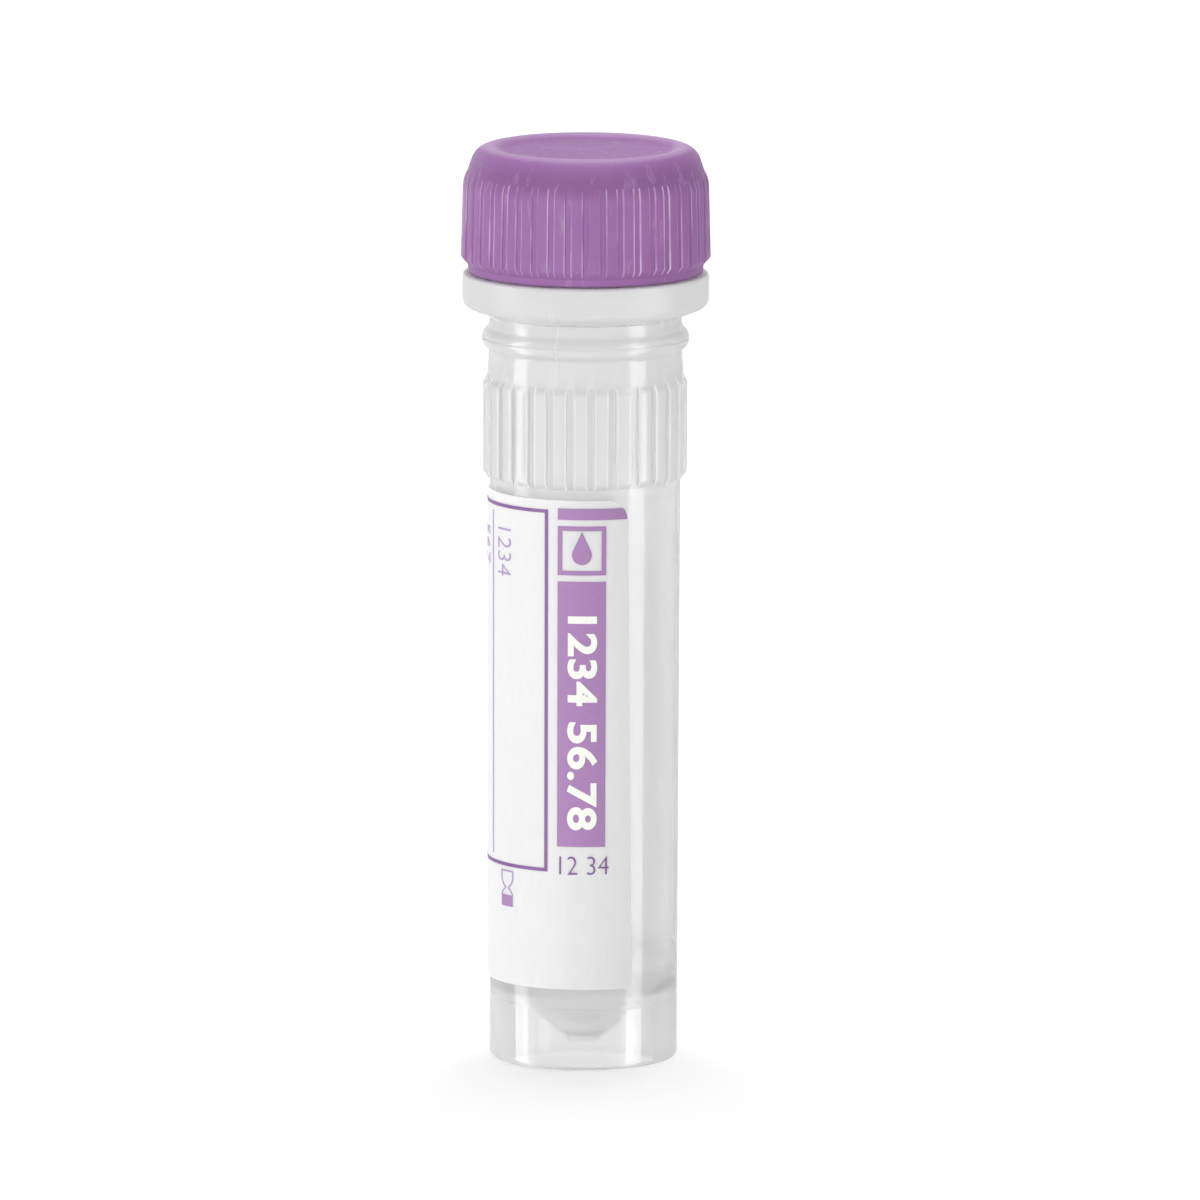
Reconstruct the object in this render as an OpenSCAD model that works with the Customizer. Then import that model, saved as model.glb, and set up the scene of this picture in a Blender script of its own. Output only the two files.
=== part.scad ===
// Screw-cap micro tube for blood: moulded tube on a false bottom, ribbed screw cap,
// seal ring and wrap-round label. Millimetres, +Z up, origin at the centre of the foot.
// The front of the label faces -Y. Angles round the tube are counted from there,
// positive towards +X.

/* [Tube body] */
// Outside diameter of the straight foot
foot_d = 9.9; // [9.5:0.02:10.4]
// Outside diameter of the body at the grip ribs
body_d = 10.04; // [9.7:0.02:10.6]
// Height of the straight foot, up to where the body starts to widen
foot_h = 4.1; // [2:0.1:6]
// Height from the foot to the grip ribs
body_h = 31; // [28:0.1:50]
// Rounding of the foot's outer edge
foot_round = 0.3; // [0.1:0.05:0.4]

/* [Bore and floor] */
// Diameter of the bore at the mouth
bore_d = 8.12; // [7.7:0.02:8.4]
// Diameter of the bore at the top of the conical floor
bore_floor_d = 8.04; // [7.6:0.02:8.1]
// Height of the top edge of the conical floor
floor_z = 5; // [4.6:0.1:7]
// Slope of the conical floor, from level
floor_slope = 41; // [30:1:42]
// Thickness of the conical floor
floor_t = 0.8; // [0.5:0.05:1.2]
// Radius of the rounded bottom of the bore
floor_tip_r = 1.9; // [0.5:0.1:2.5]
// Inside diameter of the open skirt under the floor
skirt_bore_d = 7.96; // [7.4:0.02:8.4]
// Diameter of the flat nib under the floor's tip
tip_d = 1.7; // [1:0.02:2.4]
// How far the nib stands out of the cone
tip_h = 0.3; // [0.1:0.05:0.5]
// How much wider the nib's radius is at its root than at its face
tip_draft = 0.05; // [0:0.01:0.1]

/* [Grip ribs] */
// Number of grip ribs round the tube
grip_count = 30; // [16:1:36]
// Diameter over the grip ribs
grip_d = 10.8; // [10.6:0.02:11.4]
// Height of the band of grip ribs
grip_h = 5.44; // [3:0.1:8]
// Angle that the land of one grip rib spans
grip_land = 6.6; // [4:0.1:8]
// Height of the slope at the upper end of a grip rib
grip_end = 0.42; // [0.1:0.02:0.8]
// Height of the slope at the lower end of a grip rib
grip_foot = 0.3; // [0.1:0.05:0.8]

/* [Neck, bead and collar] */
// Diameter of the neck at the grip ribs
neck_d = 10.32; // [10.2:0.02:10.5]
// Diameter of the neck under the collar
neck_top_d = 10.14; // [10.08:0.02:10.5]
// Height of the neck
neck_h = 3.18; // [2.6:0.02:5]
// Height of the bead above the grip ribs
bead_z = 1.93; // [1.2:0.01:2.1]
// Diameter over the bead
bead_d = 10.93; // [10.8:0.01:11.6]
// Height of the bead
bead_h = 1.16; // [0.9:0.02:1.6]
// Radius of the hollow fillets beside the bead
bead_fillet = 0.3; // [0.1:0.05:0.4]
// Diameter of the collar
collar_d = 12.96; // [12.4:0.02:14]
// Height of the collar at the neck
collar_h = 2.18; // [1.8:0.02:4]
// Height of the slope on the collar's underside
collar_slope = 0.5; // [0.1:0.02:0.6]
// Rounding of the collar's lower edge
collar_low_round = 0.5; // [0.2:0.05:0.7]
// Rounding of the collar's upper edge
collar_top_round = 0.15; // [0.1:0.05:0.5]

/* [Screw thread] */
// Diameter of the threaded neck above the collar, at the thread's root
mouth_d = 9.5; // [9.3:0.02:9.7]
// Height of the threaded neck above the collar
mouth_h = 4.35; // [4:0.05:6]
// Rise of the thread in one turn
pitch = 2; // [1.8:0.1:2.4]
// Height of a thread ridge above its root
thread_depth = 0.4; // [0.2:0.02:0.45]
// Width of a thread ridge at its root
thread_w = 1; // [0.7:0.05:1.05]
// Width of a thread ridge at its crest
thread_crest_w = 0.6; // [0.3:0.05:0.65]
// Turns of the ridge on the tube
tube_turns = 1.4; // [0.8:0.1:1.5]
// Turns of the ridge in the cap
cap_turns = 1.3; // [0.8:0.1:1.3]
// Height of the tube's ridge above the collar
thread_rise = 0.3; // [0.2:0.05:0.5]
// Rounding of the mouth's outer edge
mouth_round = 0.15; // [0.05:0.01:0.2]
// Clearance between each thread crest and the wall it runs on
thread_gap = 0.1; // [0.05:0.01:0.2]

/* [Screw cap] */
// Diameter over the cap's ribs at their lower end
cap_d = 13.16; // [12.9:0.02:14]
// Diameter over the cap's ribs at their upper end
cap_top_d = 12.96; // [12.7:0.02:14]
// Diameter of the cap's shell at its lower edge
cap_rim_d = 12.38; // [11.8:0.02:12.6]
// Diameter of the cap's shell at its shoulder
cap_core_d = 12.44; // [12:0.02:12.8]
// Number of ribs round the cap
cap_ribs = 44; // [24:1:52]
// Angle that the land of one cap rib spans
cap_land = 5.5; // [3:0.1:6]
// Smooth band between the cap's lower edge and its ribs
cap_band = 0.4; // [0.1:0.05:1]
// Slope at the lower end of a cap rib
cap_rib_end = 0.42; // [0.1:0.02:0.8]
// Height over which a cap rib curves back to the shell at its upper end
cap_rib_top = 0.84; // [0.3:0.02:1.2]
// Height of the smooth shoulder above the ribs
shoulder_h = 1.3; // [1.1:0.02:1.8]
// Lean of the shoulder's side, from upright
shoulder_lean = 18; // [5:1:24]
// Radius of the rounded crest round the cap's top
crest_r = 1; // [0.3:0.05:1.05]
// Depth of the dished top below the crest
dish = 0.24; // [0.1:0.02:0.4]
// Radius of the hollow fillet between the dish and the crest
dish_fillet = 2; // [0.6:0.1:3]
// Thickness of the cap above the seal, measured to the crest
cap_top_t = 1.45; // [1:0.01:2]
// Gap between the cap's lower edge and the collar
cap_gap = 0.07; // [0.05:0.01:0.3]

/* [Plug and seal] */
// Clearance between the plug and the bore
plug_gap = 0.1; // [0.05:0.01:0.2]
// Wall of the plug
plug_t = 0.65; // [0.5:0.05:0.8]
// How far the plug reaches into the bore
plug_h = 1.5; // [1:0.1:3]
// Width of the chamfer at the plug's lower end
plug_chamfer_w = 0.3; // [0.1:0.05:0.4]
// Height of the chamfer at the plug's lower end
plug_chamfer_h = 0.4; // [0.2:0.05:0.8]
// Thickness of the seal ring's section before it is pressed
seal_d = 0.96; // [0.9:0.02:1]
// Height of the pressed seal ring
seal_h = 0.9; // [0.86:0.02:0.94]
// Clearance between the seal ring and the plug
seal_gap = 0.05; // [0.02:0.01:0.1]

/* [Label] */
// Thickness of the label
label_t = 0.1; // [0.08:0.01:0.2]
// Gap between the straight foot and the label
label_lift = 0.26; // [0:0.02:2]
// Bare wall between the label and the grip ribs
label_gap = 0.58; // [0.2:0.02:4]
// Angle of the label's free edge at half height
label_edge = 28.3; // [20:0.1:40]
// Angle that the label spans
label_arc = 230; // [180:1:300]
// How much further out the edge lies at the bottom than at the top
label_skew = 0.35; // [0:0.05:0.6]
// Radius of the label's upper corner
label_corner = 1.05; // [0.5:0.05:2]
// Radius of the label's lower corner
label_low_corner = 0.4; // [0.2:0.05:0.8]

/* [Print] */
// Thickness of the ink
ink_t = 0.03; // [0.02:0.01:0.05]
// Height of the ink's underside above the paper's mean face
ink_lift = 0.015; // [0.01:0.001:0.03]
// Angle of the printed column's left side
column_left = -16; // [-22:0.5:-12]
// Angle that the printed column spans
column_arc = 28.7; // [20:0.1:32]
// Height of the bar along the label's top edge
bar_h = 0.6; // [0.3:0.05:1]
// Bare paper above the bar
bar_top = 0.41; // [0.2:0.01:0.45]
// Side of the outlined square
square_h = 2.6; // [2:0.1:3.2]
// Width of the outlined square's line
square_line = 0.24; // [0.1:0.02:0.4]
// Bare paper between the bar, the square and the solid band
column_gap = 0.34; // [0.1:0.02:0.6]
// Height of the solid band
band_h = 14.12; // [8:0.02:16]
// Angle of the writing field's right side
frame_edge = -22.1; // [-34:0.1:-20]
// Angle that the writing field's outline spans
frame_arc = 118; // [60:1:140]
// Width of the writing field's line
frame_line = 0.18; // [0.1:0.01:0.3]
// Bare paper above the writing field
frame_top = 0.51; // [0.2:0.01:1]
// Height of the writing field
frame_h = 19.28; // [12:0.02:22]
// Height of the hour-glass mark
glass_h = 1.93; // [1.4:0.01:2.6]
// Angle of the hour-glass mark's middle
glass_at = -52.8; // [-70:0.1:-45]
// Angle that the hour-glass mark spans
glass_arc = 10.4; // [6:0.1:14]
// Width of the hour-glass mark's line
glass_line = 0.09; // [0.05:0.01:0.12]
// Bare paper between the writing field and the hour-glass mark
glass_gap = 0.21; // [0.1:0.01:1]

/* [Hidden] */
$fn = 96;
// Overlap that joins the pieces of one solid
weld = 0.12;
// Steps of the thread ridges in one turn
thread_steps = 30;
// Steps in which a thread ridge rises at each end
thread_lead = 4;
// Bevel of a rib's long edges
rib_bevel = 0.07;
// Widening of a rib's flank for each unit of its height
rib_draft = 0.12;
// How far a cutting solid runs past what it cuts
past = 1;
// Angle past the label's free edge at which its sheet starts, before it is cut to outline
spare = 8;
// Half width of the hour-glass mark's waist
glass_waist = 0.1;
// Levels of the hour-glass mark's filled foot, waist and shoulder, as shares of its height
glass_fill = 0.29;
glass_mid = 0.5;
glass_shoulder = 0.68;

// Levels up the tube
grip_z = body_h;
grip_top = grip_z + grip_h;
collar_z = grip_top + neck_h;
collar_top = collar_z + collar_h;
mouth_z = collar_top + mouth_h;
label_z = foot_h + label_lift;
label_top = grip_z - label_gap;

// Levels of the closed cap
cap_z = collar_top + cap_gap;
ceiling_z = mouth_z + seal_h;
crest_z = ceiling_z + cap_top_t;
shoulder_z = crest_z - shoulder_h;
rib_z = cap_z + cap_band;

// Thread sizes in the cap
cap_bore_d = mouth_d + 2 * (thread_depth + thread_gap);
tube_thread_z = collar_top + thread_w / 2 + thread_rise;
cap_thread_z = tube_thread_z + pitch / 2;

// Plug and seal
plug_d = bore_d - 2 * plug_gap;
seal_ring_r = plug_d / 2 + seal_gap + seal_d / 2;

// Print
column_right = column_left + column_arc;
bar_z = label_top - bar_top - bar_h;
square_z = bar_z - column_gap - square_h;
band_z = square_z - column_gap - band_h;
frame_z = label_top - frame_top - frame_h;
glass_z = frame_z - glass_gap - glass_h;

// Outside radius of the tapered body at height z
function body_r(z) = foot_d / 2 + (body_d - foot_d) / 2 * max(0, z - foot_h) / (body_h - foot_h);

// Angle at the centre that a width w spans on the label
function span(w) = w / (body_d / 2 + label_t) * 180 / PI;

// Sliver between two sides of a corner and the arc that rounds it. dir points from the
// corner towards the arc's centre. Taken away it rounds an edge, added it fills a hollow.
module rounding(at, dir, r) {
    difference() {
        translate([min(at.x - dir.x * weld, at.x + dir.x * r), min(at.y - dir.y * weld, at.y + dir.y * r)])
            square(r + weld);
        translate([at.x + dir.x * r, at.y + dir.y * r]) circle(r);
    }
}

// Prism of ribs round the Z axis: a core with one bevelled lobe for each rib
module rib_prism(core_r, tip_r, count, land, h) {
    half = tip_r * sin(land / 2);
    foot_half = half + (tip_r - core_r) * rib_draft;
    linear_extrude(h) {
        circle(core_r);
        for (i = [0:count - 1])
            rotate((i + 0.5) * 360 / count)
                polygon([[core_r - weld, -foot_half], [tip_r - rib_bevel, -half], [tip_r + weld, -half + rib_bevel],
                         [tip_r + weld, half - rib_bevel], [tip_r - rib_bevel, half], [core_r - weld, foot_half]]);
    }
}

// Ridge that climbs round the Z axis from height z0, rising at its ends. The crest lies
// outside the root on the tube and inside it in the cap.
module thread_ridge(root_r, crest_r, z0, turns, start) {
    out = sign(crest_r - root_r);
    steps = round(turns * thread_steps);
    slope = (thread_w - thread_crest_w) / 2 / thread_depth;
    sunk_w = thread_w + 2 * slope * weld;
    ring = [for (i = [0:steps])
        let (lift = min(1, i / thread_lead, (steps - i) / thread_lead),
             a = start + i * 360 / thread_steps,
             z = z0 + i * pitch / thread_steps,
             top_r = root_r + out * (lift * (thread_depth + weld / 2) - weld / 2))
        for (p = [[root_r - out * weld, -sunk_w / 2], [top_r, -thread_crest_w / 2],
                  [top_r, thread_crest_w / 2], [root_r - out * weld, sunk_w / 2]])
            [p.x * cos(a), p.x * sin(a), z + p.y]];
    sides = [for (i = [0:steps - 1], k = [0:3])
        let (a = 4 * i + k, b = 4 * i + (k + 1) % 4)
        for (f = [[a, a + 4, b], [b, a + 4, b + 4]]) f];
    ends = [[0, 1, 2], [0, 2, 3], [4 * steps, 4 * steps + 2, 4 * steps + 1], [4 * steps, 4 * steps + 3, 4 * steps + 2]];
    faces = concat(sides, ends);
    polyhedron(ring, out < 0 ? faces : [for (f = faces) [f[2], f[1], f[0]]], convexity = 6);
}

// Rounded bead on the neck with a hollow fillet above and below it
module bead_outline() {
    root = neck_d / 2 + (neck_top_d - neck_d) / 2 * bead_z / neck_h;
    rise = bead_d / 2 - root;
    r = (bead_h * bead_h / 4 + rise * rise) / (2 * rise);
    at = [bead_d / 2 - r, grip_top + bead_z];
    fillet_x = root + bead_fillet;
    up = sqrt(pow(r + bead_fillet, 2) - pow(fillet_x - at.x, 2));
    translate(at) circle(r);
    for (s = [-1, 1])
        difference() {
            polygon([at, [at.x, at.y + s * up], [fillet_x, at.y + s * up]]);
            translate([fillet_x, at.y + s * up]) circle(bead_fillet);
        }
}

// Half section of the collar, with a sloped underside that rounds into its side
module collar_outline() {
    lean = atan2(collar_slope, (collar_d - neck_top_d) / 2);
    at = [collar_d / 2 - collar_low_round,
          collar_z + ((collar_d - neck_top_d) / 2 - collar_low_round) * tan(lean) + collar_low_round / cos(lean)];
    difference() {
        union() {
            polygon([[0, collar_z], [neck_top_d / 2, collar_z],
                     at + collar_low_round * [sin(lean), -cos(lean)], at, at + [collar_low_round, 0],
                     [collar_d / 2, collar_top], [0, collar_top]]);
            translate(at) circle(collar_low_round);
        }
        rounding([collar_d / 2, collar_top], [-1, -1], collar_top_round);
    }
}

// Half section of the tube's outside
module tube_outline() {
    difference() {
        union() {
            polygon([[0, 0], [foot_d / 2, 0], [foot_d / 2, foot_h], [body_d / 2, grip_z], [neck_d / 2, grip_z],
                     [neck_d / 2, grip_top], [neck_top_d / 2, collar_z], [neck_top_d / 2, collar_z + weld],
                     [0, collar_z + weld]]);
            bead_outline();
            collar_outline();
            translate([0, collar_top - weld]) square([mouth_d / 2, mouth_h + weld]);
        }
        rounding([foot_d / 2, 0], [-1, 1], foot_round);
        rounding([mouth_d / 2, mouth_z], [-1, -1], mouth_round);
    }
}

// Half section of the bore, with its conical floor and rounded bottom
module bore_outline() {
    tip_z = floor_z - bore_floor_d / 2 * tan(floor_slope) + floor_tip_r / cos(floor_slope);
    polygon([[0, tip_z], [floor_tip_r * sin(floor_slope), tip_z - floor_tip_r * cos(floor_slope)],
             [bore_floor_d / 2, floor_z], [bore_d / 2, mouth_z], [bore_d / 2, mouth_z + past], [0, mouth_z + past]]);
    intersection() {
        translate([0, tip_z]) circle(floor_tip_r);
        translate([0, tip_z - floor_tip_r]) square([floor_tip_r, floor_tip_r]);
    }
}

// Half section of the open skirt under the floor
module skirt_outline() {
    drop = floor_t / cos(floor_slope);
    wall_z = floor_z - drop - (bore_floor_d - skirt_bore_d) / 2 * tan(floor_slope);
    cone_r = tip_d / 2 + tip_h;
    cone_z = floor_z - drop - (bore_floor_d / 2 - cone_r) * tan(floor_slope);
    polygon([[0, -past], [skirt_bore_d / 2, -past], [skirt_bore_d / 2, wall_z], [cone_r, cone_z],
             [tip_d / 2 + tip_draft, cone_z], [tip_d / 2, cone_z - tip_h], [0, cone_z - tip_h]]);
}

// Half section of the band that the grip ribs stand in, with sloped ends
module grip_envelope() {
    polygon([[0, grip_z], [body_d / 2, grip_z], [grip_d / 2, grip_z + grip_foot],
             [grip_d / 2, grip_top - grip_end], [neck_d / 2, grip_top], [0, grip_top]]);
}

module tube() {
    color([0.93, 0.94, 0.95, 0.6]) {
        difference() {
            union() {
                rotate_extrude() tube_outline();
                intersection() {
                    translate([0, 0, grip_z]) rib_prism(neck_d / 2, grip_d / 2, grip_count, grip_land, grip_h);
                    rotate_extrude() grip_envelope();
                }
            }
            rotate_extrude() bore_outline();
            rotate_extrude() skirt_outline();
        }
        thread_ridge(mouth_d / 2, mouth_d / 2 + thread_depth, tube_thread_z, tube_turns, 0);
    }
}

module seal_ring() {
    color([0.86, 0.86, 0.88])
        rotate_extrude()
            translate([seal_ring_r, mouth_z + seal_h / 2])
                intersection() {
                    circle(d = seal_d);
                    translate([-seal_d, -seal_h / 2]) square([2 * seal_d, seal_h]);
                }
}

// Half section of the cap's outside without its ribs
module cap_outline() {
    side_top = [cap_core_d / 2 - (shoulder_h - crest_r) * tan(shoulder_lean), crest_z - crest_r];
    crest = [side_top.x - crest_r / cos(shoulder_lean), crest_z - crest_r];
    dish_z = crest_z - dish;
    dish_at = [crest.x - sqrt(pow(crest_r + dish_fillet, 2) - pow(dish_z + dish_fillet - crest.y, 2)),
               dish_z + dish_fillet];
    difference() {
        polygon([[0, cap_z], [cap_rim_d / 2, cap_z], [cap_rim_d / 2, rib_z], [cap_core_d / 2, shoulder_z],
                 [crest.x + crest_r * cos(shoulder_lean), crest.y + crest_r * sin(shoulder_lean)], crest,
                 dish_at, [dish_at.x, dish_z], [0, dish_z]]);
        translate(dish_at) circle(dish_fillet);
    }
    translate(crest) circle(crest_r);
}

// Half section of the band that the cap's ribs stand in: sloped feet, drafted crests, and
// tops that curve back to the shell at the shoulder
module cap_rib_envelope() {
    top = shoulder_z - cap_rib_top;
    back = (cap_top_d - cap_core_d) / 2;
    r = (cap_rib_top * cap_rib_top + back * back) / (2 * back);
    polygon([[0, rib_z], [cap_rim_d / 2, rib_z], [cap_d / 2, rib_z + cap_rib_end], [cap_top_d / 2, top], [0, top]]);
    intersection() {
        translate([cap_top_d / 2 - r, top]) circle(r);
        translate([0, top - weld]) square([cap_top_d / 2, cap_rib_top + weld]);
    }
}

// Half section of the plug that enters the bore
module plug_outline() {
    low = mouth_z - plug_h;
    polygon([[plug_d / 2 - plug_t, ceiling_z + weld], [plug_d / 2 - plug_t, low],
             [plug_d / 2 - plug_chamfer_w, low], [plug_d / 2, low + plug_chamfer_h],
             [plug_d / 2, ceiling_z + weld]]);
}

module screw_cap() {
    color([0.42, 0.22, 0.46]) {
        difference() {
            union() {
                rotate_extrude() cap_outline();
                intersection() {
                    translate([0, 0, rib_z])
                        rib_prism(cap_rim_d / 2, cap_d / 2, cap_ribs, cap_land, shoulder_z - rib_z + past);
                    rotate_extrude() cap_rib_envelope();
                }
            }
            translate([0, 0, cap_z - past]) cylinder(d = cap_bore_d, h = ceiling_z - cap_z + past);
        }
        rotate_extrude() plug_outline();
        thread_ridge(cap_bore_d / 2, cap_bore_d / 2 - thread_depth, cap_thread_z, cap_turns, 0);
    }
}

// Curved sheet of thickness t on the tube, from angle a0 to a1 and height z0 to z1
module wrap(a0, a1, z0, z1, lift, t) {
    rotate([0, 0, a0 - 90])
        rotate_extrude(angle = a1 - a0)
            polygon([[body_r(z0) + lift, z0], [body_r(z0) + lift + t, z0],
                     [body_r(z1) + lift + t, z1], [body_r(z1) + lift, z1]]);
}

// Block that cuts what lies outside the label's free edge and its two corners
module outside_label() {
    edge = (body_d / 2 + label_t) * sin(label_edge);
    low = [edge + label_skew / 2, label_z];
    top = [edge - label_skew / 2, label_top];
    rotate([90, 0, 0])
        linear_extrude(body_d) {
            polygon([low, [low.x, 0], [body_d, 0], [body_d, grip_top], [top.x, grip_top], top]);
            rounding(top, [-1, -1], label_corner);
            rounding(low, [-1, 1], label_low_corner);
        }
}

module label() {
    color([0.97, 0.97, 0.98])
        difference() {
            wrap(label_edge - label_arc, label_edge + spare, label_z, label_top, 0, label_t);
            outside_label();
        }
}

// Printed field on the label
module ink(a0, a1, z0, z1) {
    wrap(a0, a1, z0, z1, label_t + ink_lift, ink_t);
}

// Printed outline of a field, with a line of width w
module ink_outline(a0, a1, z0, z1, w) {
    difference() {
        ink(a0, a1, z0, z1);
        wrap(a0 + span(w), a1 - span(w), z0 + w, z1 - w, label_t, 2 * ink_lift + ink_t);
    }
}

// Hour-glass mark: an outlined upper bulb over a solid foot
module hour_glass() {
    half = (body_d / 2 + label_t) * tan(glass_arc / 2);
    fill = glass_z + glass_fill * glass_h;
    mid = glass_z + glass_mid * glass_h;
    shoulder = glass_z + glass_shoulder * glass_h;
    top = glass_z + glass_h;
    intersection() {
        ink(glass_at - glass_arc, glass_at + glass_arc, glass_z, top);
        rotate([0, 0, glass_at]) rotate([90, 0, 0])
            linear_extrude(body_d)
                difference() {
                    polygon([[-half, glass_z], [half, glass_z], [half, fill], [glass_waist, mid], [half, shoulder],
                             [half, top], [-half, top], [-half, shoulder], [-glass_waist, mid], [-half, fill]]);
                    polygon([[0, mid + glass_line], [half - glass_line, shoulder], [half - glass_line, top - glass_line],
                             [glass_line - half, top - glass_line], [glass_line - half, shoulder]]);
                    polygon([[glass_line - half, fill], [half - glass_line, fill], [0, mid - glass_line]]);
                }
    }
}

module label_print() {
    color([0.66, 0.50, 0.70]) {
        difference() {
            ink(column_left, label_edge + spare, bar_z, bar_z + bar_h);
            outside_label();
        }
        ink_outline(column_left, column_right, square_z, square_z + square_h, square_line);
        ink(column_left, column_right, band_z, band_z + band_h);
        ink_outline(frame_edge - frame_arc, frame_edge, frame_z, frame_z + frame_h, frame_line);
        hour_glass();
    }
}

tube();
seal_ring();
screw_cap();
label();
label_print();
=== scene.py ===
"""Looks of a small screw-cap blood collection tube: translucent tube, ribbed cap, paper label."""
import math
import random

import bmesh
import bpy
import numpy as np
from mathutils import Matrix, Vector


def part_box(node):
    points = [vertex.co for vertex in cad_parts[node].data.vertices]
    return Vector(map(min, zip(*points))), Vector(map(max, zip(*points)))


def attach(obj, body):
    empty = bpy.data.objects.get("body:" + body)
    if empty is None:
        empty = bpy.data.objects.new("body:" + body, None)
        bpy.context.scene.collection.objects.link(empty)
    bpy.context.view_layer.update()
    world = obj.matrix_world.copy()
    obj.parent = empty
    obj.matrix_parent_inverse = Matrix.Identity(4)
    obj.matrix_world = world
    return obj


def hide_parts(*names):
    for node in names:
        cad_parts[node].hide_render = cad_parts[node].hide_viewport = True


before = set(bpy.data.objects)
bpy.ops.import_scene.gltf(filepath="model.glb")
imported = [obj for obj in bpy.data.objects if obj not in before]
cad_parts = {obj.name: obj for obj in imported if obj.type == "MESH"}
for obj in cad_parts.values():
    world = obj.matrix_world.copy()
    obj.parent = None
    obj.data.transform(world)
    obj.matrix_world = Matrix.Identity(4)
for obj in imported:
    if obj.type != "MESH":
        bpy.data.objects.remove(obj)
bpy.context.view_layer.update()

MM = 0.001


def levels(node):
    """The lowest and highest z of a CAD node, in millimetres."""
    low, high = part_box(node)
    return low[2] / MM, high[2] / MM


# ---------------------------------------------------------------- sizes, in millimetres and degrees
MOUTH_Z = levels("tube")[1]
CAP_Z, CREST_Z = levels("screw_cap")
LABEL_Z, LABEL_TOP = levels("label")

# The front of the label faces -Y. Angles to the right of it are positive.
FRONT = -90
# Round foot, and the body that widens from the foot's top to the grip.
FOOT_R, FOOT_H, BODY_R = 4.95, 4.1, 5.02
# Bore, and its conical floor with a round tip.
BORE_R, BORE_FLOOR_R, FLOOR_Z, FLOOR_TIP_R = 4.06, 4.02, 5.0, 1.9
FLOOR_SLOPE, FLOOR_T = math.radians(41), 0.8
# Hollow of the skirt below the cone, and the nib at the cone's tip.
SKIRT_R, NIB_R, NIB_H, NIB_DRAFT = 3.98, 0.85, 0.3, 0.05
# Ring of grip ribs, each with a crest of GRIP_LAND degrees. They run out over GRIP_FOOT below and GRIP_END
# above.
GRIP_Z, GRIP_TOP, GRIP_R, GRIP_COUNT, GRIP_LAND = 31.0, 36.44, 5.4, 30, 7.6
GRIP_FOOT, GRIP_END = 0.3, 0.42
# One rib is wider: its place starts at WIDE_AT and takes WIDE_RIB.
WIDE_RIB, WIDE_AT = 14.8, 15.3
# Neck, the bead on it and its hollow fillets, and the collar above.
NECK_R, NECK_TOP_R = 5.16, 5.07
BEAD_Z, BEAD_R, BEAD_H, BEAD_FILLET, BEAD_NICK = 38.37, 5.465, 1.16, 0.3, 0.035
COLLAR_Z, COLLAR_TOP, COLLAR_R, COLLAR_SLOPE = 39.62, 41.8, 6.48, 0.5
# Parting line of the mould, from the grip to the collar, and how pale it is.
SEAM_AT, SEAM_HALF, SEAM_H, SEAM_PALE = -17.0, 0.45, 0.03, 0.7
# Mouth and screw thread. A thread starts and ends over THREAD_LEAD of a turn.
MOUTH_R, PITCH, THREAD_H = 4.75, 2.0, 0.4
THREAD_W, THREAD_CREST_W, THREAD_Z = 1.0, 0.6, 42.6
THREAD_TURNS, CAP_TURNS, THREAD_LEAD = 1.4, 1.3, 0.12
# Cap: radius of the ribs' crests below and above, and of the core between them, below and above.
CAP_R, CAP_TOP_R, CAP_RIM_R, CAP_CORE_R = 6.58, 6.48, 6.19, 6.22
# The ribs stand above a smooth band, run out over CAP_RIB_END below and curve in over CAP_RIB_TOP above.
CAP_RIBS, CAP_LAND, CAP_BAND, CAP_RIB_END, CAP_RIB_TOP = 44, 5.5, 0.4, 0.42, 0.84
# How much of a rib's height is left down in the cap's grooves.
CAP_GROOVE = 0.72
# Leaning shoulder, round crest and dished top.
SHOULDER_H, SHOULDER_LEAN = 1.3, math.radians(18)
CREST_R, DISH, DISH_FILLET = 1.0, 0.24, 2.0
# Inside of the cap: bore, ceiling and the plug that enters the tube.
CAP_BORE_R, CEILING_Z = 5.25, MOUTH_Z + 0.9
PLUG_R, PLUG_IN_R, PLUG_H = 3.96, 3.31, 1.5
SEAL_R, SEAL_D, SEAL_H = 4.49, 0.96, 0.9
# Label: its free edge is at LABEL_EDGE and leans by LABEL_SKEW.
LABEL_T, LABEL_EDGE, LABEL_ARC, LABEL_SKEW = 0.1, 28.3, 230.0, 0.35
LABEL_CORNER, LABEL_LOW_CORNER = 1.05, 0.4
# Gap under the label, and how deep the ink sits in the paper and stands on it.
GLUE_T, INK_DEPTH, INK_T = 0.004, 0.004, 0.02
# Printed column beside the free edge, from its left to its right side.
COLUMN_LEFT, COLUMN_RIGHT = -16.0, 12.7
BAR_H, SQUARE_H, BAND_H, COLUMN_GAP = 0.6, 2.6, 14.12, 0.34
# Printed frame for writing, and the hour-glass below it.
FRAME_RIGHT, FRAME_ARC, FRAME_H = -22.1, 118, 19.28
GLASS_AT, GLASS_HALF, GLASS_H, GLASS_FILL = -52.8, 0.47, 1.93, 0.6
# Share of a font's size that its digits are tall.
DIGIT_SHARE = 0.73

# Steps between an outline's points: along the grip and the threads, and along the cap's ribs.
FINE_STEP, CAP_STEP = 0.14, 0.09
# Radius below which a point counts as lying on the axis.
ON_AXIS = 1e-6


# ---------------------------------------------------------------- outlines
def arc(centre, r, start, end, steps):
    """Points on an arc, angles in degrees."""
    turn = np.radians(np.linspace(start, end, steps + 1))
    return [(centre[0] + r * math.cos(a), centre[1] + r * math.sin(a)) for a in turn]


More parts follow.
